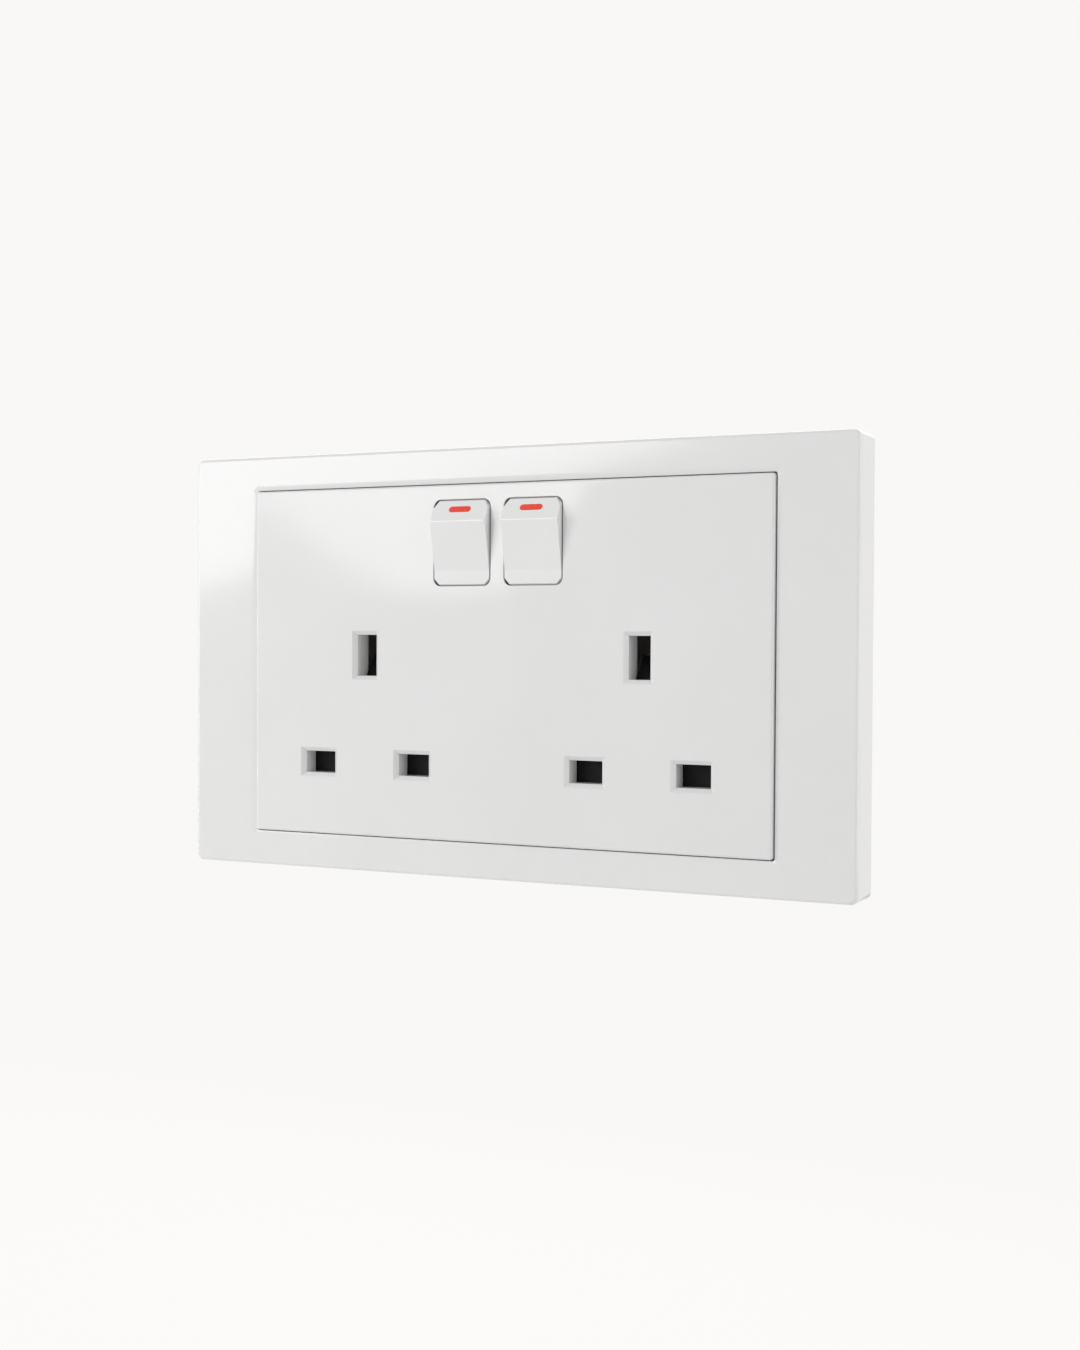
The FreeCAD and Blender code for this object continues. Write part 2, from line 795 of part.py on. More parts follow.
def make_fixed_tip(x):
    """The silver inlay on the live contact's arm, its face square to the closed blade's tip."""
    front = blade_axis + blade_wall / 2 + tip_height + tip_gap
    inlay = seesaw(block(x, rocker_row + blade_tip_offset, tip_width, tip_width, front, far))
    return inlay.common(box(-far, far, -far, line_strip, -far, far))


# Brass parts


def leaf(offset, grip, gap, mouth, base, side):
    """A jaw leaf seen along its width, as (offset, y) points: flared mouth, narrow throat, wider root."""
    throat = mouth + jaw_flare_length
    inner = [(grip / 2 + jaw_flare, mouth), (grip / 2, throat), (gap / 2, base)]
    outer = [(x + strip_wall, y) for x, y in reversed(inner)]
    return [(offset + side * x, y) for x, y in inner + outer]


def make_line_jaw(x):
    mouth = face_front + jaw_depth
    bottom = line_row - jaw_width / 2
    top = line_row + jaw_width / 2
    leaves = []
    for side in (-1, 1):
        points = leaf(x, line_jaw_grip, line_jaw_gap, mouth, line_strip, side)
        leaves.append(prism_z(points, bottom, top))
    half = line_jaw_gap / 2 + strip_wall
    base = box(x - half, x + half, line_strip, line_strip + strip_wall, bottom, top)
    return joined(base, leaves)


def make_earth_jaw(x):
    mouth = ramp_rear + jaw_clearance
    leaves = []
    for side in (-1, 1):
        points = leaf(earth_row, earth_jaw_grip, earth_jaw_gap, mouth, earth_strip, side)
        leaves.append(prism_x([(y, z) for z, y in points], x - jaw_width / 2, x + jaw_width / 2))
    height = earth_jaw_gap + 2 * strip_wall
    base = block(x, earth_row, jaw_width, height, earth_strip, earth_strip + strip_wall)
    return joined(base, leaves)


def strip(x0, x1, z0, z1, y=line_strip):
    return box(min(x0, x1), max(x0, x1), y, y + strip_wall, min(z0, z1), max(z0, z1))


def make_neutral_bar():
    half = strip_width / 2
    row = line_row - neutral_bar_drop
    neutrals = [neutral for name, centre, live, neutral in outlets()]
    pieces = [strip(min(neutrals) - half, max(neutrals) + half, row - half, row + half)]
    for x in neutrals:
        pieces.append(strip(x - half, x + half, row, line_row))
        pieces.append(make_line_jaw(x))
    return joined(pieces[0], pieces[1:])


def make_live_contact(side, live, rocker_x):
    """A live jaw with the arm that carries its fixed switch contact."""
    half = strip_width / 2
    arm_row = rocker_row + blade_tip_offset
    riser = side * (barrier_places()[-1] + barrier_wall / 2 + strip_clearance + half)
    low = min(riser, live) - half
    high = max(riser, live) + half
    pieces = [
        make_line_jaw(live),
        strip(live - half, live + half, line_row, live_arm_row + half),
        strip(low, high, live_arm_row - half, live_arm_row + half),
        strip(riser - half, riser + half, live_arm_row - half, arm_row + half),
        strip(rocker_x - side * half, riser + side * half, arm_row - half, arm_row + half),
    ]
    return joined(pieces[0], pieces[1:])


def make_live_feed_bar():
    """The live terminal's strip and the two brackets that the see-saw blades rock on."""
    half = strip_width / 2
    rise = bracket_height / 2
    inner = blade_width / 2 + bracket_gap
    outer = inner + bracket_wall
    span = rocker_pitch / 2 + outer
    terminal = outlet_pitch / 2
    low, high = terminal_span(-1)
    pieces = [
        strip(-span, span, rocker_row - rise, rocker_row + rise),
        strip(feed_arm_offset - half, feed_arm_offset + half, feed_arm_row - half, rocker_row),
        strip(feed_arm_offset - half, terminal + half, feed_arm_row - half, feed_arm_row + half),
        strip(terminal - half, terminal + half, low, feed_arm_row),
    ]
    front = blade_axis - blade_trunnion_radius
    notch = blade_trunnion_radius + pivot_clearance
    ears = []
    for name, x in rockers():
        for side in (-1, 1):
            middle = x + side * (inner + outer) / 2
            ear = block(middle, rocker_row, bracket_wall, bracket_ear, front, line_strip + strip_wall)
            seat = rod(vec(middle - bracket_wall / 2, blade_axis, rocker_row), X, notch, bracket_wall)
            way = block(middle, rocker_row, bracket_wall, 2 * notch, front, blade_axis)
            ears.append(ear.cut(seat).cut(way))
    return joined(pieces[0], pieces[1:] + ears)


def make_earth_bar():
    half = strip_width / 2
    low, high = terminal_span(1)
    reach = outlet_pitch / 2
    pieces = [strip(-reach - half, reach + half, earth_link_row - half, earth_link_row + half, earth_strip)]
    for name, x, live, neutral in outlets():
        pieces.append(make_earth_jaw(x))
        pieces.append(strip(x - half, x + half, earth_row, earth_riser_row, earth_strip))
        rear = earth_strip + strip_wall
        riser_top = earth_riser_row + strip_wall
        pieces.append(box(x - half, x + half, line_strip, rear, earth_riser_row, riser_top))
        pieces.append(strip(x - half, x + half, earth_riser_row, high))
    return joined(pieces[0], pieces[1:])


def make_terminal(x, way):
    low, high = terminal_span(way)
    front = line_strip + strip_wall
    half = terminal_width / 2
    body = box(x - half, x + half, front, front + terminal_depth, low, high)
    tunnel_front = front + terminal_wall
    tunnel_rear = tunnel_front + terminal_tunnel
    hollow = terminal_tunnel / 2
    tunnel = box(x - hollow, x + hollow, tunnel_front, tunnel_rear, low, high)
    hole = rod(vec(x, tunnel_front, (low + high) / 2), Y, clamp_screw_radius + screw_clearance, far)
    return body.cut(tunnel).cut(hole)


# Screws


def make_screw(x, z, seat, radius, length, head_radius, head_height):
    """A pan-head screw pointing at the viewer, its head behind the seat plane, with a cross drive."""
    head_end = seat + head_height
    shank = rod(vec(x, seat + head_height / 2, z), -Y, radius, length + head_height / 2)
    head = rod(vec(x, seat, z), Y, head_radius, head_height)
    floor = head_end - drive_depth
    across = block(x, z, drive_length, drive_width, floor, head_end)
    upright = block(x, z, drive_width, drive_length, floor, head_end)
    return joined(head, [shank]).cut(joined(across, [upright]))


def make_terminal_screws():
    screws = []
    for name, x, way in terminal_places():
        low, high = terminal_span(way)
        block_rear = line_strip + strip_wall + terminal_depth
        length = terminal_depth - terminal_wall - terminal_tunnel
        seat = block_rear + clamp_head_gap
        sizes = (clamp_screw_radius, length, clamp_head_radius, clamp_head_height)
        screws.append(make_screw(x, (low + high) / 2, seat, *sizes))
    return Part.makeCompound(screws)


def make_assembly_screws():
    screws = []
    sizes = (assembly_screw_radius, assembly_screw_length, assembly_head_radius, assembly_head_height)
    for side in (-1, 1):
        screws.append(make_screw(side * assembly_offset, 0, flange_wall, *sizes))
    return Part.makeCompound(screws)


# The assembly: one node for each piece

nodes = {
    "trim_frame": make_trim_frame(),
    "socket_face": make_socket_face(),
    "mounting_plate": make_mounting_plate(),
    "rear_housing": make_rear_housing(),
    "neutral_bar": make_neutral_bar(),
    "live_feed_bar": make_live_feed_bar(),
    "earth_bar": make_earth_bar(),
    "terminal_screws": make_terminal_screws(),
    "assembly_screws": make_assembly_screws(),
}
for name, x, way in terminal_places():
    nodes[name] = make_terminal(x, way)
for (name, centre, live, neutral), (rocker_name, rocker_x) in zip(outlets(), rockers()):
    nodes[name + "_shutter"] = make_shutter(centre)
    nodes[name + "_shutter_spring"] = make_shutter_spring(centre)
    nodes[name + "_live_contact"] = make_live_contact(dict(SIDES)[name], live, rocker_x)
    nodes[name + "_fixed_tip"] = make_fixed_tip(rocker_x)
    nodes[name + "_rocker"] = make_rocker(rocker_x)
    nodes[name + "_on_flag"] = make_flag(rocker_x)
    nodes[name + "_plunger"] = make_plunger(rocker_x)
    nodes[name + "_plunger_spring"] = make_plunger_spring(rocker_x)
    nodes[name + "_switch_blade"] = make_blade(rocker_x)
    nodes[name + "_blade_tip"] = make_blade_tip(rocker_x)

os.makedirs("parts", exist_ok=True)
for name, shape in nodes.items():
    shape.exportStep(f"parts/{name}.step")
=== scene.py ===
import math

import bmesh
import bpy
from mathutils import Matrix, Vector


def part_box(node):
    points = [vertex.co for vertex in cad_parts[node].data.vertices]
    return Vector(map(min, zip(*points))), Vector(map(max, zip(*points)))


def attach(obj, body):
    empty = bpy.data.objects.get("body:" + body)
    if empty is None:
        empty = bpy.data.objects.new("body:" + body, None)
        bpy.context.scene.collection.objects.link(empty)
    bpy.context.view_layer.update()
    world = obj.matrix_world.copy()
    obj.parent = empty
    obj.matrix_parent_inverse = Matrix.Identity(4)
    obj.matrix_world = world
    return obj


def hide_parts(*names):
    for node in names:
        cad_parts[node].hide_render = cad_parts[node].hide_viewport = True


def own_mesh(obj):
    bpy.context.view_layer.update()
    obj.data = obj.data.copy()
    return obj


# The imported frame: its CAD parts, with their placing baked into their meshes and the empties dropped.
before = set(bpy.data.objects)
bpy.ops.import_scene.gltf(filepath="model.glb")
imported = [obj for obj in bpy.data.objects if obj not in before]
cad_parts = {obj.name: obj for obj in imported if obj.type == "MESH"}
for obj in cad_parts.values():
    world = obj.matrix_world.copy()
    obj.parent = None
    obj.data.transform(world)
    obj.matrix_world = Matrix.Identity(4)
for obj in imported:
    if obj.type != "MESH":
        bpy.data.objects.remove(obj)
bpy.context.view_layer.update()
mm = 0.001


# Rear housing: the white base that drops into the wall box and holds every live piece.
# It is moulded in a hard mineral-filled plastic, duller than the front, with eased outer edges,
# and two screws from behind clamp it to the steel plate and the face.
def add_object(name, data):
    """A new object at the origin, linked to the scene."""
    made = bpy.data.objects.new(name, data)
    bpy.context.collection.objects.link(made)
    return made


def eased_copy(node, name, rules, crease=20.0, segments=3, prepare=None, weld=0.0):
    """A merged copy of a CAD node as a new object with rounded edges.

    Each rule is a radius and a test of the edges that get it. Edges flatter than the crease stay.
    """
    merge = 0.002 * mm
    flat = math.radians(0.4)
    limit = math.radians(crease)
    shape = bmesh.new()
    shape.from_mesh(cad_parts[node].data)
    bmesh.ops.remove_doubles(shape, verts=shape.verts, dist=merge)
    bmesh.ops.dissolve_limit(shape, angle_limit=flat, verts=shape.verts, edges=shape.edges)
    if prepare:
        prepare(shape)
    for radius, chosen in rules:
        crisp = [e for e in shape.edges if len(e.link_faces) == 2 and e.calc_face_angle(0.0) > limit]
        bmesh.ops.bevel(
            shape,
            geom=[e for e in crisp if chosen(e)],
            offset=radius,
            offset_type="OFFSET",
            segments=segments,
            profile=0.5,
            affect="EDGES",
            clamp_overlap=True,
            loop_slide=True,
        )
    if weld:
        bmesh.ops.remove_doubles(shape, verts=shape.verts, dist=weld)
    mesh = bpy.data.meshes.new(name)
    shape.to_mesh(mesh)
    shape.free()
    return add_object(name, mesh)


def settle(piece):
    """Turns the modifiers' result into the piece's own plain mesh."""
    graph = bpy.context.evaluated_depsgraph_get()
    graph.update()
    made = piece.evaluated_get(graph)
    result = bpy.data.meshes.new_from_object(made, preserve_all_data_layers=True, depsgraph=graph)
    old = piece.data
    name = old.name
    piece.modifiers.clear()
    piece.data = result
    bpy.data.meshes.remove(old)
    result.name = name


def keep_flats(mesh, least_area, least_width):
    """Gives broad flats their own normal at every corner. Corners that shared theirs with one follow it."""
    same_normal = 0.001
    same_side = 0.5
    normals = [Vector(corner.vector) for corner in mesh.corner_normals]
    flats = {}
    for face in sorted(mesh.polygons, key=lambda face: face.area):
        points = [mesh.vertices[index].co for index in face.vertices]
        longest = max((start - end).length for start, end in zip(points, points[1:] + points[:1]))
        if face.area > least_area and face.area / longest > least_width:
            for corner in face.loop_indices:
                place = mesh.loops[corner].vertex_index
                flats.setdefault(place, []).append((normals[corner].copy(), face.normal))
                normals[corner] = Vector(face.normal)
    for face in mesh.polygons:
        for corner in face.loop_indices:
            for shared, flat in flats.get(mesh.loops[corner].vertex_index, []):
                if (normals[corner] - shared).length < same_normal and face.normal.dot(flat) > same_side:
                    normals[corner] = Vector(flat)
                    break
    mesh.normals_split_custom_set(normals)


def shade_by_area(piece, sharp=38.0, least_area=10.0, least_width=1.5):
    """Smooth shading with normals stored in the mesh: rounded edges blend, and broad flats stay flat.

    The angle is in degrees, and a broad flat's least area and width are in mm.
    """
    for face in piece.data.polygons:
        face.use_smooth = True
    piece.data.set_sharp_from_angle(angle=math.radians(sharp))
    weigh = piece.modifiers.new("flats", "WEIGHTED_NORMAL")
    weigh.keep_sharp = True
    weigh.weight = 100
    settle(piece)
    keep_flats(piece.data, least_area * mm * mm, least_width * mm)


def feed(tree, socket, value):
    """Links another node's output to a socket, or sets the socket to a plain value."""
    if isinstance(value, bpy.types.NodeSocket):
        tree.links.new(value, socket)
    else:
        socket.default_value = value


def add_node(tree, kind, inputs, **settings):
    """A new node with these settings. Each input, by name or number, takes an output or a plain value."""
    node = tree.nodes.new(kind)
    for label, value in settings.items():
        setattr(node, label, value)
    for label, value in inputs.items():
        feed(tree, node.inputs[label], value)
    return node


def shader_group(name, inputs, outputs):
    """An empty shader node group of float sockets: the tree, what it is given and what it puts out."""
    tree = bpy.data.node_groups.new(name, "ShaderNodeTree")
    for label, value in inputs.items():
        socket = tree.interface.new_socket(label, in_out="INPUT", socket_type="NodeSocketFloat")
        socket.default_value = value
    for label in outputs:
        tree.interface.new_socket(label, in_out="OUTPUT", socket_type="NodeSocketFloat")
    return tree, tree.nodes.new("NodeGroupInput").outputs, tree.nodes.new("NodeGroupOutput").inputs


def noise(tree, vector, scale, detail, rough=0.5):
    """The value of a noise texture on the given vector."""
    inputs = {"Vector": vector, "Scale": scale, "Detail": detail, "Roughness": rough}
    return add_node(tree, "ShaderNodeTexNoise", inputs).outputs["Fac"]


def mapped(tree, value, span, ends, way="LINEAR"):
    """A value's span mapped to the span between two ends, all of them numbers or sockets."""
    inputs = {"Value": value, "From Min": span[0], "From Max": span[1], "To Min": ends[0], "To Max": ends[1]}
    return add_node(tree, "ShaderNodeMapRange", inputs, interpolation_type=way).outputs["Result"]


noise_middle = (0.3, 0.7)


def make_moulded_skin():
    """Moulded plastic: cloudy tone, uneven gloss and a fine grain, by places on the piece."""
    sizes = {"Clouds": 60.0, "Grain": 4000.0, "Least rough": 0.2, "Most rough": 0.3}
    tree, given, out = shader_group("moulded skin", sizes, ("Tone", "Roughness", "Height"))
    place = tree.nodes.new("ShaderNodeTexCoord").outputs["Object"]
    clouds = noise(tree, place, given["Clouds"], detail=3.0)
    grain = noise(tree, place, given["Grain"], detail=2.0, rough=0.6)
    gloss = (given["Least rough"], given["Most rough"])
    feed(tree, out["Tone"], mapped(tree, clouds, noise_middle, (0.0, 1.0)))
    feed(tree, out["Roughness"], mapped(tree, grain, noise_middle, gloss))
    feed(tree, out["Height"], grain)
    return tree


moulded_skin = make_moulded_skin()


def drifting_finish(name, group, values, drift, shades, depth):
    """A material whose colour drifts between two shades by a group's mask, with its gloss and relief."""
    material = bpy.data.materials.new(name)
    material.use_nodes = True
    tree = material.node_tree
    skin = add_node(tree, "ShaderNodeGroup", values, node_tree=group).outputs
    ends = {"Factor": skin[drift], "A": (*shades[0], 1.0), "B": (*shades[1], 1.0)}
    colour = add_node(tree, "ShaderNodeMix", ends, data_type="RGBA")
    relief = {"Strength": 1.0, "Distance": depth, "Height": skin["Height"]}
    bump = add_node(tree, "ShaderNodeBump", relief)
    shader = tree.nodes["Principled BSDF"].inputs
    feed(tree, shader["Base Color"], colour.outputs["Result"])
    feed(tree, shader["Roughness"], skin["Roughness"])
    feed(tree, shader["Normal"], bump.outputs["Normal"])
    return material


def moulded_plastic(name, light, dark, clouds, grain, rough, depth):
    """A plastic whose colour drifts between two shades, with the moulded skin's gloss and grain."""
    values = {"Clouds": clouds, "Grain": grain, "Least rough": rough[0], "Most rough": rough[1]}
    return drifting_finish(name, moulded_skin, values, "Tone", (dark, light), depth)


def finish_piece(piece, material, body, slot, *nodes):
    """Gives a new piece its material and its body, and hides the CAD nodes that it stands for. The slot is
    not used.
    """
    piece.data.materials.clear()
    piece.data.materials.append(material)
    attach(piece, body)
    if nodes:
        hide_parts(*nodes)


housing_round = 0.25 * mm
housing_least_edge = 1.2 * mm
housing_weld = 0.001 * mm
housing_plastic = moulded_plastic(
    "housing plastic",
    light=(0.80, 0.795, 0.78),
    dark=(0.782, 0.777, 0.762),
    clouds=90.0,
    grain=2600.0,
    rough=(0.42, 0.56),
    depth=0.02 * mm,
)
housing_rule = (housing_round, lambda e: e.is_convex and e.calc_length() > housing_least_edge)
housing = eased_copy("rear_housing", "housing_moulding", [housing_rule], weld=housing_weld)
shade_by_area(housing)
finish_piece(housing, housing_plastic, "base", "white_matte", "rear_housing")


# Ejector marks: the low round witness marks that the mould's pins leave on the housing's rear.
# They are part of the same moulding, slightly tapered, and stand a fifth of a millimetre proud.
def start_tree(name, sizes, material):
    """A Geometry Nodes tree that takes points, sizes and a material: the tree, its inputs and their keys."""
    tree = bpy.data.node_groups.new(name, "GeometryNodeTree")
    sockets = [("Geometry", "NodeSocketGeometry")]
    sockets += [(label, "NodeSocketFloat") for label in sizes]
    sockets.append((material, "NodeSocketMaterial"))
    keys = {}
    for label, kind in sockets:
        keys[label] = tree.interface.new_socket(label, in_out="INPUT", socket_type=kind).identifier
    tree.interface.new_socket("Geometry", in_out="OUTPUT", socket_type="NodeSocketGeometry")
    return tree, tree.nodes.new("NodeGroupInput").outputs, keys


def set_on_points(tree, points, shape):
    """Puts a shape on every point, with its own Z turned to +Y."""
    inputs = {"Points": points, "Instance": shape, "Rotation": (-math.pi / 2, 0.0, 0.0)}
    return add_node(tree, "GeometryNodeInstanceOnPoints", inputs).outputs["Instances"]


def end_tree(tree, geometry, material):
    """Ends a tree in real geometry that carries the material."""
    real = add_node(tree, "GeometryNodeRealizeInstances", {"Geometry": geometry})
    inputs = {"Geometry": real.outputs["Geometry"], "Material": material}
    coat = add_node(tree, "GeometryNodeSetMaterial", inputs)
    add_node(tree, "NodeGroupOutput", {"Geometry": coat.outputs["Geometry"]})


def grown_piece(name, points, tree, keys, values):
    """A new piece that a tree makes on some points with these values, as a plain mesh."""
    mesh = bpy.data.meshes.new(name)
    mesh.from_pydata(points, [], [])
    piece = add_object(name, mesh)
    growth = piece.modifiers.new(tree.name, "NODES")
    growth.node_group = tree
    for label, value in values.items():
        growth[keys[label]] = value
    settle(piece)
    return piece


mark_sides = 36
mark_sink = 0.1 * mm
mark_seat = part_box("rear_housing")[1].y - mark_sink
mark_columns = (-42.0 * mm, -14.0 * mm, 14.0 * mm, 42.0 * mm)
mark_rows = (-19.0 * mm, 1.0 * mm, 21.0 * mm)
mark_values = {
    "Foot radius": 2.1 * mm,
    "Top radius": 1.95 * mm,
    "Thickness": 0.32 * mm,
    "Plastic": housing_plastic,
}


def make_mark_tree():
    """Geometry Nodes: a low tapered disc on every point, facing +Y, with its foot sunk into the wall."""
    tree, given, keys = start_tree("ejector marks", ("Foot radius", "Top radius", "Thickness"), "Plastic")
    inputs = {
        "Vertices": mark_sides,
        "Radius Bottom": given["Foot radius"],
        "Radius Top": given["Top radius"],
        "Depth": given["Thickness"],
    }
    disc = add_node(tree, "GeometryNodeMeshCone", inputs)
    seats = set_on_points(tree, given["Geometry"], disc.outputs["Mesh"])
    end_tree(tree, seats, given["Plastic"])
    return tree, keys


mark_tree, mark_keys = make_mark_tree()
mark_places = [(x, mark_seat, z) for x in mark_columns for z in mark_rows]
marks = grown_piece("ejector_marks", mark_places, mark_tree, mark_keys, mark_values)
finish_piece(marks, housing_plastic, "base", "white_matte")


# Brass work: the neutral, live and earth bars with their sprung jaws, and the four clamp terminals.
# Strips are blanked from rolled brass and folded, so the metal has a fine drawn line along it,
# and terminals are cut from bar. All of it drops into pockets in the housing.
drawn_along_x = (0.06, 1.0, 1.0)


def make_worked_metal():
    """Worked metal: a fine drawn line along one way, patches of tarnish, and uneven gloss."""
    sizes = {"Lines": 3000.0, "Patches": 120.0, "Least rough": 0.25, "Most rough": 0.4}
    tree, given, out = shader_group("worked metal", sizes, ("Tarnish", "Roughness", "Height"))
    place = tree.nodes.new("ShaderNodeTexCoord").outputs["Object"]
    drawn = add_node(tree, "ShaderNodeMapping", {"Vector": place, "Scale": drawn_along_x})
    lines = noise(tree, drawn.outputs["Vector"], given["Lines"], detail=3.0, rough=0.6)
    patches = noise(tree, place, given["Patches"], detail=4.0, rough=0.6)
    gloss = (given["Least rough"], given["Most rough"])
    feed(tree, out["Tarnish"], mapped(tree, patches, noise_middle, (0.0, 1.0)))
    feed(tree, out["Roughness"], mapped(tree, lines, noise_middle, gloss))
    feed(tree, out["Height"], lines)
    return tree


worked_metal = make_worked_metal()


def set_shader(material, label, value):
    """Sets one input of a material's shader to a plain value."""
    material.node_tree.nodes["Principled BSDF"].inputs[label].default_value = value


def metal(name, bright, dull, lines, patches, rough, depth):
    """A bare metal that drifts between a bright and a dull shade, with the worked metal's lines."""
    values = {"Lines": lines, "Patches": patches, "Least rough": rough[0], "Most rough": rough[1]}
    material = drifting_finish(name, worked_metal, values, "Tarnish", (bright, dull), depth)
    set_shader(material, "Metallic", 1.0)
    return material


def paint_node(node, material):
    """Gives a CAD node that keeps its own shape a finished material."""
    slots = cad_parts[node].data.materials
    slots.clear()
    slots.append(material)


brass_bright = (0.80, 0.60, 0.30)
strip_brass = metal(
    "strip brass",
    bright=brass_bright,
    dull=(0.62, 0.43, 0.19),
    lines=3200.0,
    patches=150.0,
    rough=(0.24, 0.38),
    depth=0.004 * mm,
)
bar_brass = metal(
    "terminal brass",
    bright=brass_bright,
    dull=(0.68, 0.49, 0.23),
    lines=2400.0,
    patches=220.0,
    rough=(0.2, 0.32),
    depth=0.006 * mm,
)
for strip_node in ("neutral_bar", "live_feed_bar", "earth_bar", "left_live_contact", "right_live_contact"):
    paint_node(strip_node, strip_brass)
for terminal in ("live_terminal", "neutral_terminal", "left_earth_terminal", "right_earth_terminal"):
    paint_node(terminal, bar_brass)


# Switch works: on each side a brass see-saw blade rocks on the feed bar and carries a silver tip to
# meet the fixed one. A dark plunger, pushed out of the rocker by a wire spring, slides over the blade
# and flips it. Blades are pressed, tips are riveted in, plungers are moulded.
tip_silver = metal(
    "contact silver",
    bright=(0.88, 0.87, 0.84),
    dull=(0.66, 0.64, 0.60),
    lines=1500.0,
    patches=400.0,
    rough=(0.22, 0.36),
    depth=0.003 * mm,
)
plunger_plastic = moulded_plastic(
    "plunger plastic",
    light=(0.030, 0.030, 0.032),
    dark=(0.018, 0.018, 0.020),
    clouds=160.0,
    grain=5000.0,
    rough=(0.38, 0.5),
    depth=0.012 * mm,
)
for side in ("left", "right"):
    paint_node(side + "_switch_blade", strip_brass)
    paint_node(side + "_blade_tip", tip_silver)
    paint_node(side + "_fixed_tip", tip_silver)
    paint_node(side + "_plunger", plunger_plastic)

coil_steps = 26
wire_sides = 10
spring_wire = metal(
    "spring wire",
    bright=(0.56, 0.56, 0.57),
    dull=(0.40, 0.40, 0.41),
    lines=2600.0,
    patches=500.0,
    rough=(0.24, 0.36),
    depth=0.003 * mm,
)


def helix(tree, radius, turns, height, steps):
    """A curve that climbs along Z at one radius, with some steps in each turn."""
    inputs = {"Resolution": steps, "Rotations": turns, "Height": height}
    inputs.update({"Start Radius": radius, "End Radius": radius})
    return add_node(tree, "GeometryNodeCurveSpiral", inputs).outputs["Curve"]


def rod_along(tree, curve, radius, sides):
    """A rod along a curve, with closed ends."""
    section = add_node(tree, "GeometryNodeCurvePrimitiveCircle", {"Resolution": sides, "Radius": radius})
    inputs = {"Curve": curve, "Profile Curve": section.outputs["Curve"], "Fill Caps": True}
    return add_node(tree, "GeometryNodeCurveToMesh", inputs).outputs["Mesh"]


def make_coil_tree():
    """Geometry Nodes: a round wire wound on a helix along Z."""
    sizes = ("Coil radius", "Wire radius", "Turns", "Length")
    tree, given, keys = start_tree("wound coil", sizes, "Wire")
    path = helix(tree, given["Coil radius"], given["Turns"], given["Length"], coil_steps)
    wire = rod_along(tree, path, given["Wire radius"], wire_sides)
    end_tree(tree, wire, given["Wire"])
    return tree, keys


coil_tree, coil_keys = make_coil_tree()


def wound_spring(name, radius, wire, turns, length, place):
    """A coil spring of this wire radius, along its own Z from the origin, put where the matrix says."""
    values = {"Coil radius": radius, "Wire radius": wire, "Turns": turns, "Wire": spring_wire}
    values["Length"] = length - 2 * wire
    piece = grown_piece(name, [], coil_tree, coil_keys, values)
    piece.data.transform(place @ Matrix.Translation((0.0, 0.0, wire)))
    shape = bmesh.new()
    shape.from_mesh(piece.data)
    bmesh.ops.recalc_face_normals(shape, faces=shape.faces)
    shape.to_mesh(piece.data)
    shape.free()
    for face in piece.data.polygons:
        is_end = len(face.vertices) == wire_sides
        face.use_smooth = not is_end
    return piece


rocker_x = 7.87 * mm
plunger_lean = math.radians(7.0)
plunger_way = Vector((0.0, math.cos(plunger_lean), math.sin(plunger_lean)))
plunger_spring_y = -7.037 * mm
plunger_spring_z = 23.787 * mm
plunger_spring_length = 4.3 * mm
plunger_spring_radius = 1.15 * mm
plunger_spring_wire = 0.15 * mm
plunger_spring_turns = 4.0
plunger_turn = Vector((0.0, 0.0, 1.0)).rotation_difference(plunger_way).to_matrix().to_4x4()
for side, way in (("left", -1), ("right", 1)):
    foot = Vector((way * rocker_x, plunger_spring_y, plunger_spring_z))
    spring = wound_spring(
        side + "_plunger_coil",
        plunger_spring_radius,
        plunger_spring_wire,
        plunger_spring_turns,
        plunger_spring_length,
        Matrix.Translation(foot) @ plunger_turn,
    )
    finish_piece(spring, spring_wire, side + "_rocker_body", "spring_steel", side + "_plunger_spring")
    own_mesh(spring)


# Mounting plate: pressed from zinc-plated steel, with the two long wall-fixing slots.
# It is clamped between the face and the housing, and the trim frame clips over it.
plate_round = 0.15 * mm
plate_crease = 60.0
plate_zinc = metal(
    "plate zinc",
    bright=(0.66, 0.67, 0.69),
    dull=(0.54, 0.55, 0.58),
    lines=900.0,
    patches=260.0,
    rough=(0.3, 0.46),
    depth=0.004 * mm,
)
plate_rule = (plate_round, lambda e: e.is_convex)
plate = eased_copy("mounting_plate", "mounting_pressing", [plate_rule], crease=plate_crease, segments=2)
shade_by_area(plate)
finish_piece(plate, plate_zinc, "base", "zinc_steel", "mounting_plate")


# Shutters: two moulded slides behind the slots, coloured near black and barely reflecting, each with a ramp
# that the earth pin pushes down.
# They run on rails behind the face, and a light coil spring under the bridge closes them again.
shutter_plastic = moulded_plastic(
    "shutter plastic",
    light=(0.012, 0.012, 0.013),
    dark=(0.006, 0.006, 0.007),
    clouds=120.0,
    grain=4200.0,
    rough=(0.42, 0.55),
    depth=0.014 * mm,
)
set_shader(shutter_plastic, "Specular IOR Level", 0.12)
outlet_x = 30.2 * mm
shutter_spring_y = -4.2 * mm
shutter_spring_z = -16.05 * mm
shutter_spring_length = 10.0 * mm
shutter_spring_radius = 1.4 * mm
shutter_spring_wire = 0.2 * mm
shutter_spring_turns = 7.0
for side, way in (("left", -1), ("right", 1)):
    paint_node(side + "_shutter", shutter_plastic)
    foot = Vector((way * outlet_x, shutter_spring_y, shutter_spring_z))
    spring = wound_spring(
        side + "_shutter_coil",
        shutter_spring_radius,
        shutter_spring_wire,
        shutter_spring_turns,
        shutter_spring_length,
        Matrix.Translation(foot),
    )
    finish_piece(spring, spring_wire, "base", "spring_steel", side + "_shutter_spring")
    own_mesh(spring)


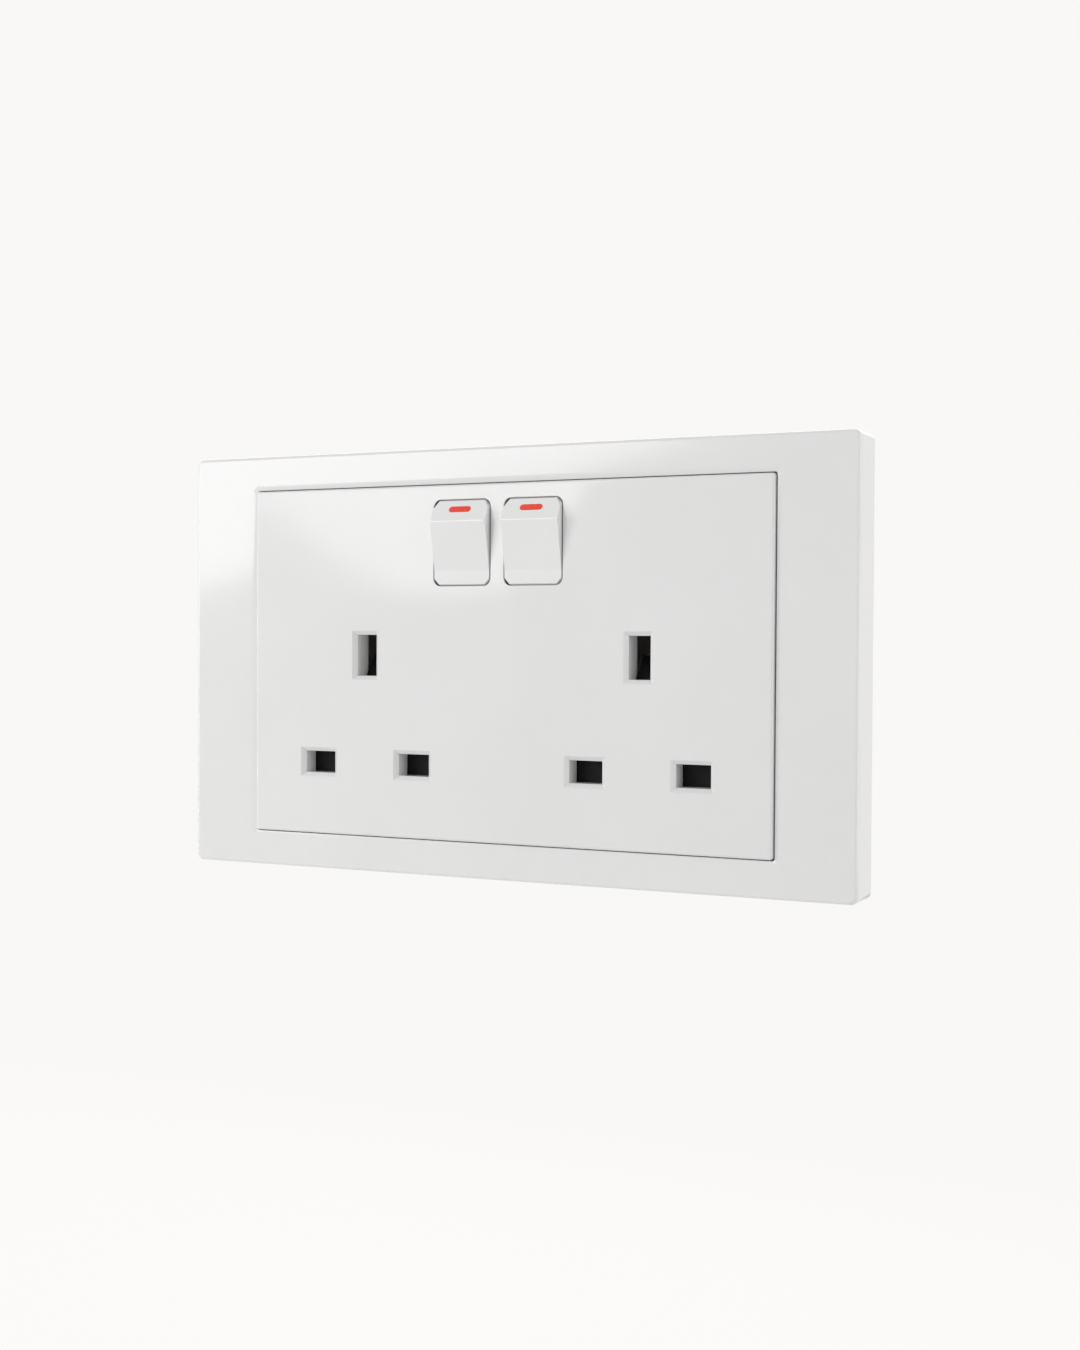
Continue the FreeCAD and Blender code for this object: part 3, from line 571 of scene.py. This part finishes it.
# Screws: four zinc-plated clamp screws in the terminals and two longer ones that hold housing and face.
# Each has a rounded cheese head with a cross drive, and a rolled thread below it.
def reckon(tree, operation, first, second=0.0):
    """The result of a sum on one or two numbers or sockets."""
    return add_node(tree, "ShaderNodeMath", {0: first, 1: second}, operation=operation).outputs["Value"]


def raised(tree, geometry, height):
    """Geometry moved along Z."""
    rise = add_node(tree, "ShaderNodeCombineXYZ", {"Z": height})
    inputs = {"Geometry": geometry, "Translation": rise.outputs["Vector"]}
    return add_node(tree, "GeometryNodeTransform", inputs).outputs["Geometry"]


def picked(tree, index, values):
    """The one of some numbers or sockets that an index picks."""
    switch = tree.nodes.new("GeometryNodeIndexSwitch")
    switch.data_type = "FLOAT"
    switch.index_switch_items.clear()
    for _ in values:
        switch.index_switch_items.new()
    feed(tree, switch.inputs["Index"], index)
    for socket, value in zip(switch.inputs[1:], values):
        feed(tree, socket, value)
    return switch.outputs[0]


def turned_bar(tree, stations, sides):
    """A closed round bar along Z: a plain drum whose rings move to each station's height and radius."""
    steps = len(stations) - 1
    drum_sizes = {"Vertices": sides, "Side Segments": steps, "Radius": 1.0, "Depth": steps}
    drum = add_node(tree, "GeometryNodeMeshCylinder", drum_sizes)
    place = tree.nodes.new("GeometryNodeInputPosition").outputs["Position"]
    old = add_node(tree, "ShaderNodeSeparateXYZ", {"Vector": place}).outputs
    # The drum's rings lie one unit apart about its middle, so a point's height gives its ring's number.
    ring = reckon(tree, "FLOOR", reckon(tree, "ADD", old["Z"], steps / 2 + 0.5))
    height, radius = (picked(tree, ring, values) for values in zip(*stations))
    x = reckon(tree, "MULTIPLY", old["X"], radius)
    y = reckon(tree, "MULTIPLY", old["Y"], radius)
    new = add_node(tree, "ShaderNodeCombineXYZ", {"X": x, "Y": y, "Z": height})
    inputs = {"Geometry": drum.outputs["Mesh"], "Position": new.outputs["Vector"]}
    return add_node(tree, "GeometryNodeSetPosition", inputs).outputs["Geometry"]


def drive_block(tree, length, width, depth, top):
    """A block that cuts one slot of the cross drive down from the head's top."""
    tall = reckon(tree, "MULTIPLY", depth, 2.0)
    size = add_node(tree, "ShaderNodeCombineXYZ", {"X": length, "Y": width, "Z": tall})
    block = add_node(tree, "GeometryNodeMeshCube", {"Size": size.outputs["Vector"]})
    return raised(tree, block.outputs["Mesh"], top)


screw_sides = 32
thread_steps = 20
thread_sides = 4
round_in = 0.3
round_up = 0.7
second_slot = 0.85


def make_screw_tree():
    """Geometry Nodes: one turned screw with a cross drive, set on every point, head towards +Y."""
    sizes = (
        "Head radius", "Head height", "Head round", "Shank radius", "Shank length", "Pitch",
        "Thread depth", "Drive length", "Drive width", "Drive depth",
    )
    tree, given, keys = start_tree("cross screw", sizes, "Steel")
    radius = given["Head radius"]
    top = given["Head height"]
    easing = given["Head round"]
    flat = reckon(tree, "SUBTRACT", top, easing)
    crown = reckon(tree, "SUBTRACT", radius, easing)
    rim = reckon(tree, "SUBTRACT", radius, reckon(tree, "MULTIPLY", easing, round_in))
    brow = reckon(tree, "ADD", flat, reckon(tree, "MULTIPLY", easing, round_up))
    foot = reckon(tree, "MULTIPLY", given["Shank length"], -1.0)
    core = reckon(tree, "SUBTRACT", given["Shank radius"], given["Thread depth"])
    stations = ((foot, core), (0.0, core), (0.0, radius), (flat, radius), (brow, rim), (top, crown))
    blank = turned_bar(tree, stations, screw_sides)
    cut = add_node(tree, "GeometryNodeMeshBoolean", {"Mesh 1": blank}, operation="DIFFERENCE")
    shallow = reckon(tree, "MULTIPLY", given["Drive depth"], second_slot)
    first = drive_block(tree, given["Drive length"], given["Drive width"], given["Drive depth"], top)
    second = drive_block(tree, given["Drive width"], given["Drive length"], shallow, top)
    for block in (first, second):
        feed(tree, cut.inputs["Mesh 2"], block)
    run = reckon(tree, "SUBTRACT", given["Shank length"], given["Pitch"])
    turns = reckon(tree, "DIVIDE", run, given["Pitch"])
    start = reckon(tree, "ADD", foot, reckon(tree, "MULTIPLY", given["Pitch"], 0.5))
    path = raised(tree, helix(tree, core, turns, run, thread_steps), start)
    thread = rod_along(tree, path, given["Thread depth"], thread_sides)
    whole = tree.nodes.new("GeometryNodeJoinGeometry")
    for part in (thread, cut.outputs["Mesh"]):
        feed(tree, whole.inputs["Geometry"], part)
    seats = set_on_points(tree, given["Geometry"], whole.outputs["Geometry"])
    end_tree(tree, seats, given["Steel"])
    return tree, keys


screw_tree, screw_keys = make_screw_tree()
screw_zinc = metal(
    "screw zinc",
    bright=(0.70, 0.70, 0.71),
    dull=(0.55, 0.55, 0.56),
    lines=1800.0,
    patches=600.0,
    rough=(0.24, 0.38),
    depth=0.003 * mm,
)


def screw_set(name, seats, sizes):
    """One piece with a screw on each seat: the seat is the underside of the head."""
    piece = grown_piece(name, seats, screw_tree, screw_keys, {**sizes, "Steel": screw_zinc})
    shade_by_area(piece, sharp=32.0, least_area=2.0, least_width=0.6)
    return piece


terminal_screw = {
    "Head radius": 2.5 * mm, "Head height": 1.9 * mm, "Head round": 0.4 * mm,
    "Shank radius": 1.7 * mm, "Shank length": 1.7 * mm, "Pitch": 0.6 * mm, "Thread depth": 0.25 * mm,
    "Drive length": 3.2 * mm, "Drive width": 0.8 * mm, "Drive depth": 0.9 * mm,
}
assembly_screw = {
    "Head radius": 2.4 * mm, "Head height": 1.6 * mm, "Head round": 0.4 * mm,
    "Shank radius": 1.25 * mm, "Shank length": 8.2 * mm, "Pitch": 0.8 * mm, "Thread depth": 0.2 * mm,
    "Drive length": 3.0 * mm, "Drive width": 0.7 * mm, "Drive depth": 0.8 * mm,
}
clamp_low, clamp_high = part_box("terminal_screws")
clamp_y = clamp_high.y - terminal_screw["Head height"]
clamp_rows = (clamp_low.z + terminal_screw["Head radius"], clamp_high.z - terminal_screw["Head radius"])
tie_x = 51.4 * mm
tie_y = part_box("assembly_screws")[1].y - assembly_screw["Head height"]
clamp_seats = [(x, clamp_y, z) for x in (-outlet_x, outlet_x) for z in clamp_rows]
tie_seats = [(-tie_x, tie_y, 0.0), (tie_x, tie_y, 0.0)]
clamp_screws = screw_set("clamp_screws", clamp_seats, terminal_screw)
finish_piece(clamp_screws, screw_zinc, "base", "zinc_steel", "terminal_screws")
tie_screws = screw_set("tie_screws", tie_seats, assembly_screw)
finish_piece(tie_screws, screw_zinc, "base", "zinc_steel", "assembly_screws")


# Socket face: the glossy white inner plate, moulded with six chamfered pin slots and two rocker wells.
# It stands a little proud of the frame round it, with a fine dark gap between, and its broad front is
# very slightly wound, which bends reflections on it.
gloss_white = (0.815, 0.815, 0.81)
gloss_shade = (0.795, 0.795, 0.79)
face_gloss = moulded_plastic(
    "face gloss",
    light=gloss_white,
    dark=gloss_shade,
    clouds=40.0,
    grain=900.0,
    rough=(0.075, 0.1),
    depth=0.001 * mm,
)
set_shader(face_gloss, "Specular IOR Level", 0.38)
foot_blend = 10.0 * mm


def make_wound_front():
    """The height of a front that leans down at the left and up by the rockers, and is flat past them."""
    sizes = {"Left": -80.0 * mm, "Right": 0.0, "Left lean": -0.0385, "Right lean": 0.038}
    sizes.update({"Flat from": 2.0 * mm, "Flat to": 22.0 * mm, "Row": 22.0 * mm, "Foot": 8.0 * mm})
    tree, given, out = shader_group("wound front", sizes, ("Height",))
    place = tree.nodes.new("ShaderNodeTexCoord").outputs["Object"]
    axes = add_node(tree, "ShaderNodeSeparateXYZ", {"Vector": place}).outputs
    bent = (given["Left"], given["Right"])
    leans = (given["Left lean"], given["Right lean"])
    lean = mapped(tree, axes["X"], bent, leans, "SMOOTHSTEP")
    fade = mapped(tree, axes["X"], (given["Flat from"], given["Flat to"]), (1.0, 0.0), "SMOOTHSTEP")
    inputs = {0: axes["Z"], 1: given["Foot"], 2: foot_blend}
    level = add_node(tree, "ShaderNodeMath", inputs, operation="SMOOTH_MAX").outputs["Value"]
    drop = reckon(tree, "SUBTRACT", given["Row"], level)
    feed(tree, out["Height"], reckon(tree, "MULTIPLY", reckon(tree, "MULTIPLY", lean, fade), drop))
    return tree


def wind_front(material):
    """Adds the slow winding under a moulded plastic's own grain."""
    tree = material.node_tree
    wound = add_node(tree, "ShaderNodeGroup", {}, node_tree=make_wound_front())
    relief = {"Strength": 1.0, "Distance": 1.0, "Height": wound.outputs["Height"]}
    bend = add_node(tree, "ShaderNodeBump", relief)
    feed(tree, tree.nodes["Bump"].inputs["Normal"], bend.outputs["Normal"])


wind_front(face_gloss)
face_round = 0.1 * mm
mouth_round = 0.04 * mm
face_front = -8.5 * mm
face_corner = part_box("socket_face")[1]
face_rim = 0.8 * mm
mouths_inside = 1.2 * mm
line_spread = 11.1 * mm
mouth_columns = [way * outlet_x + part * line_spread for way in (-1, 1) for part in (-1, 0, 1)]
mouth_columns += [-rocker_x, rocker_x]
mouth_rows = (-20.8 * mm, 1.4 * mm, 24.0 * mm)
across_x = Vector((1.0, 0.0, 0.0))
across_z = Vector((0.0, 0.0, 1.0))
hair = 0.001 * mm
facing_front = -0.999


def in_front(edge, limit):
    """True if the whole edge lies in front of a place along Y."""
    return all(v.co.y < limit for v in edge.verts)


def near_rim(edge, corner, band):
    """True if the edge runs within a band inside the outline of a centred plate with this corner."""
    return all(abs(v.co.x) > corner.x - band or abs(v.co.z) > corner.z - band for v in edge.verts)


def front_flats(shape):
    """The faces of the broad front."""
    return [f for f in shape.faces if f.normal.y < facing_front and f.calc_center_median().y < face_front]


def part_front(shape):
    """Parts the broad front along lines through its openings, so that no flat runs round a hole or slants."""
    cuts = [(across_x, place) for place in mouth_columns]
    cuts += [(across_z, place) for place in mouth_rows]
    for way, place in cuts:
        flats = front_flats(shape)
        edges = dict.fromkeys(e for f in flats for e in f.edges)
        points = dict.fromkeys(v for f in flats for v in f.verts)
        geometry = [*flats, *edges, *points]
        bmesh.ops.bisect_plane(shape, geom=geometry, dist=hair, plane_co=way * place, plane_no=way)
    flats = set(front_flats(shape))
    slanted = []
    for edge in shape.edges:
        run = edge.verts[1].co - edge.verts[0].co
        inner = all(beside in flats for beside in edge.link_faces)
        if inner and abs(run.x) > hair and abs(run.z) > hair:
            slanted.append(edge)
    bmesh.ops.dissolve_edges(shape, edges=slanted, use_verts=False, use_face_split=False)


face_rules = [
    (face_round, lambda e: in_front(e, face_front) and near_rim(e, face_corner, face_rim)),
    (mouth_round, lambda e: in_front(e, face_front) and not near_rim(e, face_corner, mouths_inside)),
]
face = eased_copy("socket_face", "face_moulding", face_rules, prepare=part_front)
shade_by_area(face)
finish_piece(face, face_gloss, "base", "white_gloss", "socket_face")


# Rockers: white switch caps on trunnions in the face's wells, with a ridge, a bevel above it and a lip
# below. They are moulded in a slightly whiter gloss plastic, and a red flag is set in each bevel.
rocker_gloss = moulded_plastic(
    "rocker gloss",
    light=(0.845, 0.845, 0.84),
    dark=(0.825, 0.825, 0.82),
    clouds=50.0,
    grain=1100.0,
    rough=(0.1, 0.14),
    depth=0.001 * mm,
)
flag_red = moulded_plastic(
    "flag red",
    light=(0.87, 0.058, 0.029),
    dark=(0.82, 0.046, 0.021),
    clouds=300.0,
    grain=1500.0,
    rough=(0.2, 0.3),
    depth=0.001 * mm,
)
ridge_front = -9.6 * mm
ridge_round = 0.16 * mm
ridge_least = 10.0 * mm
ridge_level = 0.1 * mm
rocker_top = 32.0 * mm
rocker_foot = 16.0 * mm
cap_front = -8.0 * mm
cap_round = 0.18 * mm
cap_crease = 5.0
cap_corner = math.radians(30.0)
flag_front = -9.9 * mm
flag_round = 0.1 * mm


def across_front(edge):
    """True for the ridge and the crease, which run across a rocker's front between its ends."""
    ends = edge.verts
    level = abs(ends[0].co.z - ends[1].co.z) < ridge_level
    between = all(rocker_foot < v.co.z < rocker_top for v in ends)
    return level and between and in_front(edge, ridge_front) and edge.calc_length() > ridge_least


rocker_rules = [
    (ridge_round, across_front),
    (cap_round, lambda e: in_front(e, cap_front) and e.calc_face_angle(0.0) > cap_corner),
]
flag_rule = (flag_round, lambda e: in_front(e, flag_front))
for side in ("left", "right"):
    cap = eased_copy(side + "_rocker", side + "_rocker_cap", rocker_rules, crease=cap_crease, segments=4)
    shade_by_area(cap)
    finish_piece(cap, rocker_gloss, side + "_rocker_body", "white_gloss", side + "_rocker")
    flag = eased_copy(side + "_on_flag", side + "_red_flag", [flag_rule], segments=2)
    shade_by_area(flag)
    finish_piece(flag, flag_red, side + "_rocker_body", "red_gloss", side + "_on_flag")


# Trim frame: the white outer surround, a shallow hollow moulding that clips over the steel plate
# with four hooks and hides the fixing screws. Its front edges are softly rounded.
frame_gloss = moulded_plastic(
    "frame gloss",
    light=gloss_white,
    dark=gloss_shade,
    clouds=40.0,
    grain=900.0,
    rough=(0.07, 0.095),
    depth=0.001 * mm,
)
trim_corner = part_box("trim_frame")[1]
trim_front = -7.8 * mm
trim_round = 0.28 * mm
trim_rim = 2.0 * mm
opening_round = 0.1 * mm
opening_inside = 3.0 * mm
trim_rules = [
    (trim_round, lambda e: in_front(e, trim_front) and near_rim(e, trim_corner, trim_rim)),
    (opening_round, lambda e: in_front(e, trim_front) and not near_rim(e, trim_corner, opening_inside)),
]
trim = eased_copy("trim_frame", "trim_surround", trim_rules)
shade_by_area(trim)
finish_piece(trim, frame_gloss, "base", "white_gloss", "trim_frame")


# Studio: a pale floor well below, an even pale surround, and a large soft box high on the left that the
# glossy white reflects. A small fill on the left and broad ones on the right and behind lift the shade.
backdrop_white = (0.948, 0.939, 0.922, 1.0)
ambient_white = (1.0, 1.0, 1.0, 1.0)
ambient_strength = 0.46
floor_z = -0.45
floor_half = 4.0
paper_white = (0.85, 0.85, 0.85, 1.0)
paper_rough = 0.9
paper_glow = (0.977, 0.968, 0.951, 1.0)
paper_glow_share = 0.94


def camera_sees(tree):
    """A mask that is 1 where the eye, a reflection or glass looks, and 0 for the light on the object."""
    path = tree.nodes.new("ShaderNodeLightPath").outputs
    mask = path["Is Camera Ray"]
    for label in ("Is Glossy Ray", "Is Transmission Ray"):
        mask = reckon(tree, "MAXIMUM", mask, path[label])
    return mask


world = bpy.data.worlds.new("studio")
bpy.context.scene.world = world
world.use_nodes = True
air = world.node_tree
seen = add_node(air, "ShaderNodeBackground", {"Color": backdrop_white, "Strength": 1.0})
ambient = air.nodes["Background"]
ambient.inputs["Color"].default_value = ambient_white
ambient.inputs["Strength"].default_value = ambient_strength
either = {"Fac": camera_sees(air), 1: ambient.outputs["Background"], 2: seen.outputs["Background"]}
surround = add_node(air, "ShaderNodeMixShader", either)
feed(air, air.nodes["World Output"].inputs["Surface"], surround.outputs["Shader"])

paper = bpy.data.materials.new("studio paper")
paper.use_nodes = True
set_shader(paper, "Base Color", paper_white)
set_shader(paper, "Roughness", paper_rough)
sheet = paper.node_tree
matt = sheet.nodes["Principled BSDF"].outputs["BSDF"]
glow = add_node(sheet, "ShaderNodeEmission", {"Color": paper_glow}).outputs["Emission"]
glow_share = reckon(sheet, "MULTIPLY", camera_sees(sheet), paper_glow_share)
lit_paper = add_node(sheet, "ShaderNodeMixShader", {"Fac": glow_share, 1: matt, 2: glow})
feed(sheet, sheet.nodes["Material Output"].inputs["Surface"], lit_paper.outputs["Shader"])

floor_mesh = bpy.data.meshes.new("studio_floor")
floor_corners = [(-floor_half, -floor_half, floor_z), (floor_half, -floor_half, floor_z)]
floor_corners += [(floor_half, floor_half, floor_z), (-floor_half, floor_half, floor_z)]
floor_mesh.from_pydata(floor_corners, [], [(0, 1, 2, 3)])
floor_mesh.materials.append(paper)
floor = add_object("studio_floor", floor_mesh)


def soft_lamp(name, corner, along, normal, width, height, power):
    """A rectangular lamp from its lower right corner: its lower edge runs back against the way along."""
    light = bpy.data.lights.new(name, "AREA")
    light.shape = "RECTANGLE"
    light.size = width
    light.size_y = height
    light.energy = power
    lamp = add_object(name, light)
    back = -Vector(normal).normalized()
    across = Vector(along)
    across = (across - back * across.dot(back)).normalized()
    rise = back.cross(across)
    place = Vector(corner) - across * (width / 2) + rise * (height / 2)
    lamp.matrix_world = Matrix.Translation(place) @ Matrix((across, rise, back)).transposed().to_4x4()


soft_lamp(
    "soft_box",
    corner=(-0.4, -1.2, 0.1947),
    along=(1.0, 0.0, 0.2466),
    normal=(0.0, 1.0, 0.0),
    width=1.1,
    height=0.9,
    power=12.4,
)
soft_lamp(
    "left_fill",
    corner=(-0.709, -0.562, -0.15),
    along=(0.55, -0.83, 0.0),
    normal=(0.83, 0.55, 0.0),
    width=0.15,
    height=0.3,
    power=1.35,
)
soft_lamp(
    "side_fill",
    corner=(1.3, 0.6, -0.2),
    along=(0.0, 1.0, 0.0),
    normal=(-1.0, 0.0, 0.0),
    width=1.2,
    height=1.2,
    power=8.5,
)
soft_lamp(
    "back_fill",
    corner=(-1.12, 1.2, -0.05),
    along=(-1.0, 0.0, 0.0),
    normal=(0.0, -1.0, 0.0),
    width=1.2,
    height=0.8,
    power=8.0,
)

# Camera: placed where the photograph was taken from, to the right of the socket and level with it.
eye_place = Vector((0.15972, -0.32116, 0.00408))
eye_turn = math.radians(25.744)
eye_lift = math.radians(1.027)
eye_roll = math.radians(0.338)
lens_length = 47.29
back = Vector(
    (
        math.sin(eye_turn) * math.cos(eye_lift),
        -math.cos(eye_turn) * math.cos(eye_lift),
        math.sin(eye_lift),
    )
)
right = Vector((math.cos(eye_turn), math.sin(eye_turn), 0.0))
up = back.cross(right)
rolled_right = right * math.cos(eye_roll) + up * math.sin(eye_roll)
rolled_up = up * math.cos(eye_roll) - right * math.sin(eye_roll)
eye = bpy.data.cameras.new("eye")
eye.sensor_width = 36.0
eye.lens = lens_length
eye.clip_start = 0.01
eye.clip_end = 30.0
camera = add_object("eye", eye)
eye_frame = Matrix((rolled_right, rolled_up, back)).transposed().to_4x4()
camera.matrix_world = Matrix.Translation(eye_place) @ eye_frame
bpy.context.scene.camera = camera
bpy.context.scene.view_settings.view_transform = "Standard"
